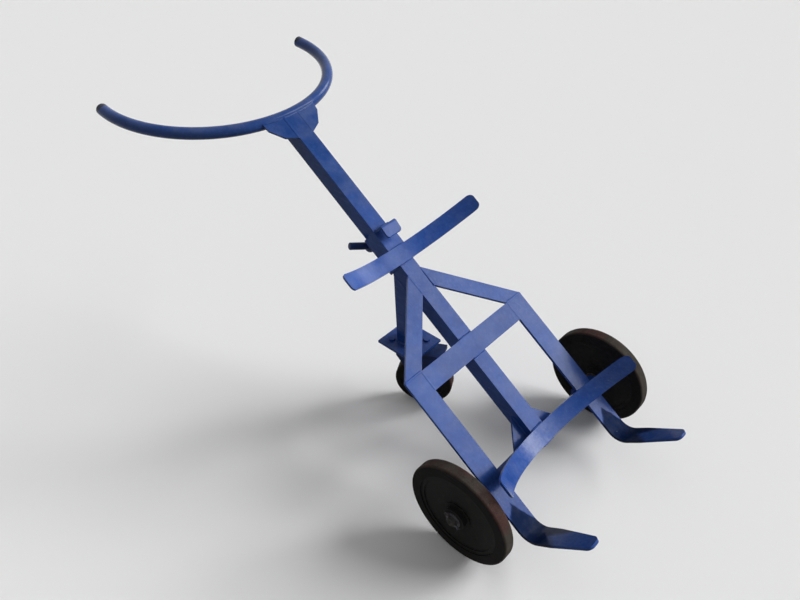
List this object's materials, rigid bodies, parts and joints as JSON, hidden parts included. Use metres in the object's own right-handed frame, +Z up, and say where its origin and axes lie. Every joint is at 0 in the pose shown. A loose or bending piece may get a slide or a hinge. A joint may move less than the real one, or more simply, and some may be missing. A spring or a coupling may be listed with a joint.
{
  "type": "drum trolley",
  "caption": "Three-wheeled hand trolley for a steel drum: a square mast with curved saddles, a sliding chime clamp, bent toes, a round handle and a rear swivel caster.",
  "frame": {"origin": "on the floor, under the middle of the parked trolley's bounding box", "axes": "+X to the trolley's right along the axle, +Y back towards the handle, +Z up; the toes point to -Y"},
  "size_m": [0.7216, 1.5786, 0.8655],
  "materials": {
    "blue_enamel": "gloss",
    "dull_zinc": "satin",
    "black_iron": "satin",
    "dusty_rubber": "matte"
  },
  "bodies": {
    "chassis": {"mast": "blue_enamel", "cross_bar": "blue_enamel", "left_brace": "blue_enamel", "right_brace": "blue_enamel", "left_leg": "blue_enamel", "right_leg": "blue_enamel", "lower_saddle": "blue_enamel", "left_foot_gusset": "blue_enamel", "right_foot_gusset": "blue_enamel", "left_axle_lug": "blue_enamel", "right_axle_lug": "blue_enamel", "axle": "blue_enamel", "left_spacer_tube": "blue_enamel", "right_spacer_tube": "blue_enamel", "handle_bar": "blue_enamel", "left_handle_gusset": "blue_enamel", "right_handle_gusset": "blue_enamel", "left_washers": "dull_zinc", "right_washers": "dull_zinc", "left_split_pin": "dull_zinc", "right_split_pin": "dull_zinc", "caster_strut": "blue_enamel", "caster_mount_plate": "blue_enamel", "caster_top_plate": "blue_enamel", "plate_bolts": "blue_enamel", "plate_nuts": "blue_enamel", "swivel_race": "blue_enamel", "king_pin": "dull_zinc", "king_nut": "dull_zinc"},
    "left_wheel": {"left_wheel_disc": "black_iron", "left_tyre": "dusty_rubber"},
    "right_wheel": {"right_wheel_disc": "black_iron", "right_tyre": "dusty_rubber"},
    "clamp": {"clamp_sleeve": "blue_enamel", "upper_saddle": "blue_enamel", "chime_hook": "blue_enamel", "clamp_nut": "blue_enamel"},
    "pad": {"thrust_pad": "dull_zinc"},
    "screw": {"clamp_screw": "blue_enamel", "tommy_bar": "blue_enamel"},
    "caster_head": {"caster_fork": "blue_enamel", "caster_axle_bolt": "dull_zinc", "caster_axle_nut": "dull_zinc"},
    "caster_wheel": {"caster_wheel_core": "black_iron", "caster_tyre": "dusty_rubber"}
  },
  "joints": [
    {"name": "left_wheel_spin", "type": "hinge", "parent": "chassis", "child": "left_wheel", "pos_m": [-0.3145, -0.48175, 0.148], "axis": [1, 0, 0], "continuous": true},
    {"name": "right_wheel_spin", "type": "hinge", "parent": "chassis", "child": "right_wheel", "pos_m": [0.3145, -0.48175, 0.148], "axis": [1, 0, 0], "continuous": true},
    {"name": "caster_swivel", "type": "hinge", "parent": "chassis", "child": "caster_head", "pos_m": [0, -0.02774, 0.2], "axis": [0, 0, 1], "continuous": true},
    {"name": "caster_wheel_spin", "type": "hinge", "parent": "caster_head", "child": "caster_wheel", "pos_m": [0.02066, -0.06659, 0.0875], "axis": [0.8829, 0.4695, 0], "continuous": true},
    {"name": "clamp_slide", "type": "slide", "parent": "chassis", "child": "clamp", "axis": [0, 0.809, 0.5878], "range_m": [0, 0.31]},
    {"name": "clamp_screw_feed", "type": "slide", "parent": "clamp", "child": "pad", "axis": [0, 0.5878, -0.809], "range_m": [0, 0.0051]},
    {"name": "clamp_screw_turn", "type": "hinge", "parent": "pad", "child": "screw", "pos_m": [0, 0.10187, 0.51516], "axis": [0, 0.5878, -0.809], "range_deg": [0, 720]}
  ],
  "couplings": [
    {"joint": "clamp_screw_feed", "follows": "clamp_screw_turn", "m_per_rad": 0.00039789}
  ]
}
